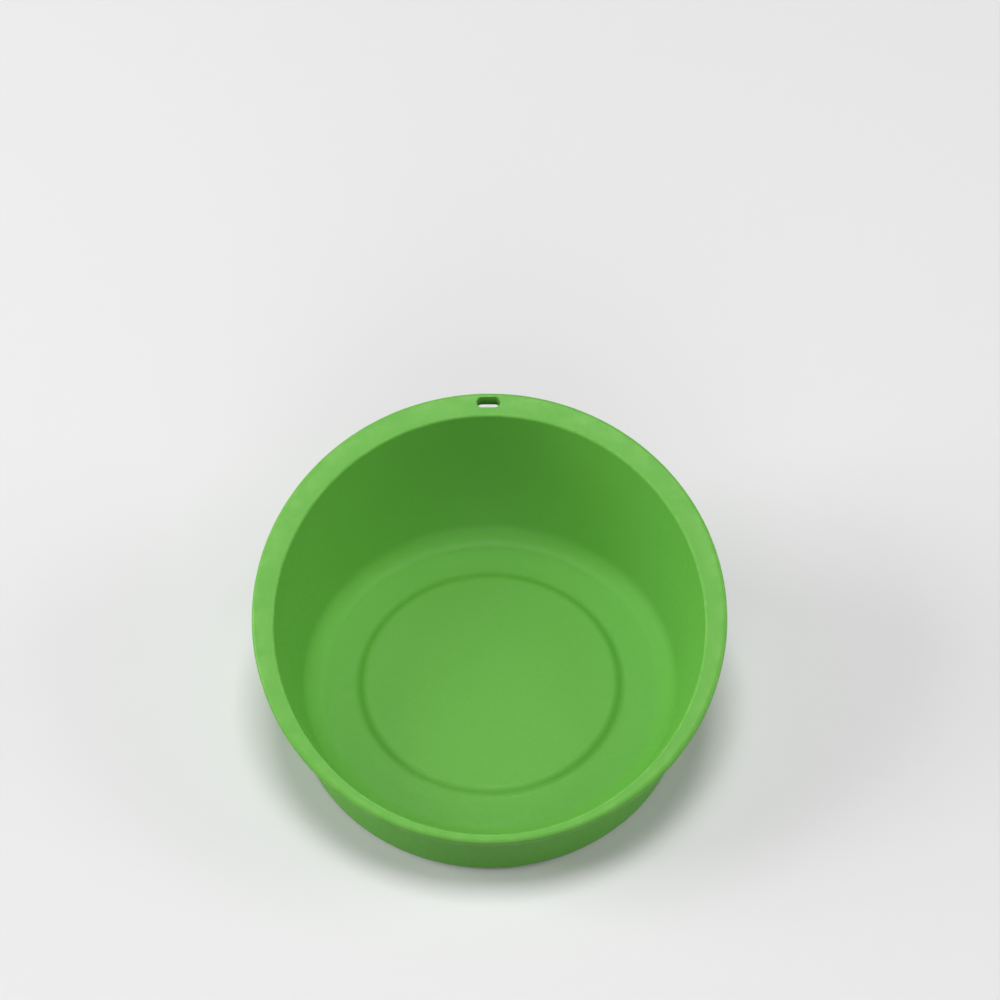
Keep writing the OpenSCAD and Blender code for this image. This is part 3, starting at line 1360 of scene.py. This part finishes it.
    def outside_rows(self) -> list[Row]:
        """Rows down the outside, from the lip's underside to the foot ring's inner edge.

        Returns:
            The rows in order.
        """
        inner_foot = (self.foot_p.x - self.wall_t, self.foot_z)
        edge = arc_points(self.foot_edge_c, self.foot_round, -math.degrees(self.foot_draft), -90.0,
                          self.edge_steps)
        return [
            *[Row(Part.OUTSIDE, 1 - step / self.side_rows) for step in range(self.side_rows + 1)],
            *rings(edge, edge=1.0),
            *span((self.foot_edge_c.x, self.foot_z), inner_foot),
        ]

    def crotch(self) -> float:
        """Finds, by halving, where the foot ring's inner side meets the corner's underside.

        Returns:
            The height.
        """
        corner_r = self.corner_r + self.wall_t
        low, high = self.corner_c.y - corner_r, self.corner_c.y
        for _ in range(HALVINGS):
            middle = (low + high) / 2
            foot = self.foot_p.x - self.wall_t + (middle - self.foot_z) * math.tan(self.foot_draft)
            corner = self.corner_c.x + math.sqrt(corner_r ** 2 - (self.corner_c.y - middle) ** 2)
            low, high = (middle, high) if foot > corner else (low, middle)
        return (low + high) / 2

    def underside_rows(self) -> list[Row]:
        """Rows up into the groove under the floor, round the pocket's wall and into the pocket.

        Returns:
            The rows in order.
        """
        top = self.crotch()
        inner_r = self.foot_p.x - self.wall_t
        crotch_r = inner_r + (top - self.foot_z) * math.tan(self.foot_draft)
        corner_r = self.corner_r + self.wall_t
        start = math.degrees(math.asin((top - self.corner_c.y) / corner_r))
        ceiling = self.floor_z - self.wall_t
        return [
            *span((inner_r, self.foot_z), (crotch_r, top)),
            *rings(arc_points(self.corner_c, corner_r, start, -90.0, self.corner_steps)),
            *span((self.corner_c.x, ceiling), (self.disc_r, ceiling)),
            *span((self.disc_r, ceiling), (self.disc_r, self.foot_z)),
            *span((self.disc_r, self.foot_z), (self.pocket_r, self.foot_z)),
            *span((self.pocket_r, self.foot_z), (self.pocket_r, self.pocket_z)),
            *span((self.pocket_r, self.pocket_z), (0.0, self.pocket_z)),
        ]

    def build(self, effects: Effects) -> list[bpy.types.Object]:
        """Makes the moulding.

        Args:
            effects: The shared shader groups.

        Returns:
            The piece, alone in its list.
        """
        rows = [*self.inside_rows(), *self.rim_rows(), *self.outside_rows(), *self.underside_rows()]
        shape = BowlTree("slanted_bowl", self.tree_sizes()).build()
        piece = shape.make("bowl_moulding", rows, GREEN_PLASTIC.material(effects), self.columns)
        return [place_piece(piece, "bowl")]


@dataclass(frozen=True)
class Lamp:
    """A square soft light that looks at the bowl."""

    name: str
    place: Point3
    size: float
    watts: float

    def hang(self, target: Vector) -> None:
        """Adds the light.

        Args:
            target: The point that it looks at.
        """
        data = bpy.data.lights.new(self.name, "AREA")
        data.size = self.size
        data.energy = self.watts
        lamp = bpy.data.objects.new(self.name, data)
        bpy.context.scene.collection.objects.link(lamp)
        turn = (target - Vector(self.place)).to_track_quat("-Z", "Y")
        lamp.matrix_world = Matrix.Translation(self.place) @ turn.to_matrix().to_4x4()


KEY = Lamp("key", place=(0.0, 0.25, 1.3), size=0.5, watts=10.3)
LEFT = Lamp("left", place=(-1.15, 0.1, 0.45), size=0.7, watts=11.4)
RIGHT = Lamp("right", place=(1.15, 0.1, 0.45), size=0.7, watts=5.5)
FRONT = Lamp("front", place=(0.0, -1.1, 0.5), size=0.9, watts=5.2)


@dataclass
class Studio:
    """A pale floor, soft light from above, from both sides and from the front, and the camera."""

    target: Vector = field(default_factory=lambda: Vector((0.0, 0.0, 0.0082)))
    distance: float = 0.5042
    elevation: float = math.radians(56.8)
    picture: int = 1000
    focal_px: float = 2303.0
    target_px: Point = (490.0, 678.8)
    sensor: float = 36.0
    floor_half: float = 3.0
    floor_z: float = -0.00005
    ground: GroundFinish = PALE_PAPER
    sky: float = 0.05
    lamps: tuple[Lamp, ...] = (KEY, LEFT, RIGHT, FRONT)

    def camera(self) -> None:
        """Sets the camera so that the middle of the disc falls where the picture has it."""
        data = bpy.data.cameras.new("camera")
        data.sensor_width = self.sensor
        data.lens = self.focal_px * self.sensor / self.picture
        camera = bpy.data.objects.new("camera", data)
        bpy.context.scene.collection.objects.link(camera)
        sight = Vector((0.0, math.cos(self.elevation), -math.sin(self.elevation)))
        half = self.picture / 2
        seen = Vector((self.target_px[0] - half, half - self.target_px[1], -self.focal_px)).normalized()
        turn = math.asin(-seen.x / sight.y)
        level = sight.y * math.cos(turn)
        pitch = math.atan2(sight.z, level) - math.atan2(seen.y, -seen.z)
        forward = Vector((math.sin(turn) * math.cos(pitch), math.cos(turn) * math.cos(pitch),
                          math.sin(pitch)))
        right = Vector((math.cos(turn), -math.sin(turn), 0.0))
        up = right.cross(forward)
        frame = Matrix((right, up, -forward)).transposed().to_4x4()
        camera.matrix_world = Matrix.Translation(self.target - self.distance * sight) @ frame
        bpy.context.scene.camera = camera

    def floor(self, effects: Effects) -> None:
        """Lays the floor.

        Args:
            effects: The shared shader groups.
        """
        half = self.floor_half
        mesh = bpy.data.meshes.new("floor")
        corners = [(-half, -half), (half, -half), (half, half), (-half, half)]
        mesh.from_pydata([(x, y, self.floor_z) for x, y in corners], [], [(0, 1, 2, 3)])
        floor = bpy.data.objects.new("floor", mesh)
        bpy.context.scene.collection.objects.link(floor)
        mesh.materials.append(self.ground.material(effects))

    def lights(self) -> None:
        """Hangs the lamps and adds an even light all round, with a pale backdrop where it is seen."""
        for lamp in self.lamps:
            lamp.hang(self.target)
        world = bpy.data.worlds.new("studio")
        world.use_nodes = True
        tree = world.node_tree
        tree.nodes.clear()
        sky = add_node(tree, "ShaderNodeBackground", {"Color": WHITE, "Strength": self.sky})
        backdrop = add_node(tree, "ShaderNodeBackground", {"Color": WHITE, "Strength": self.ground.backdrop})
        shown = mix_shaders(tree, background_rays(tree), sky, backdrop)
        add_node(tree, "ShaderNodeOutputWorld", {"Surface": shown})
        bpy.context.scene.world = world

    def build(self, effects: Effects) -> None:
        """Makes the whole studio.

        Args:
            effects: The shared shader groups.
        """
        bpy.context.scene.view_settings.view_transform = "Standard"
        self.camera()
        self.floor(effects)
        self.lights()


def main() -> None:
    """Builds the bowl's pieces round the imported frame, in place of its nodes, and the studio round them."""
    logging.basicConfig(level=logging.INFO, format="%(name)s: %(message)s")
    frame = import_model()
    LOG.info("frame with nodes %s", ", ".join(sorted(frame["nodes"])))
    effects = Effects()
    pack = MagnetPack()
    for assembly in (MouldedBowl(pack), pack, BaseCover(pack)):
        for piece in assembly.build(effects):
            LOG.info("%s made: %d faces", piece.name, len(piece.data.polygons))
    Studio().build(effects)


if __name__ == "__main__":
    main()
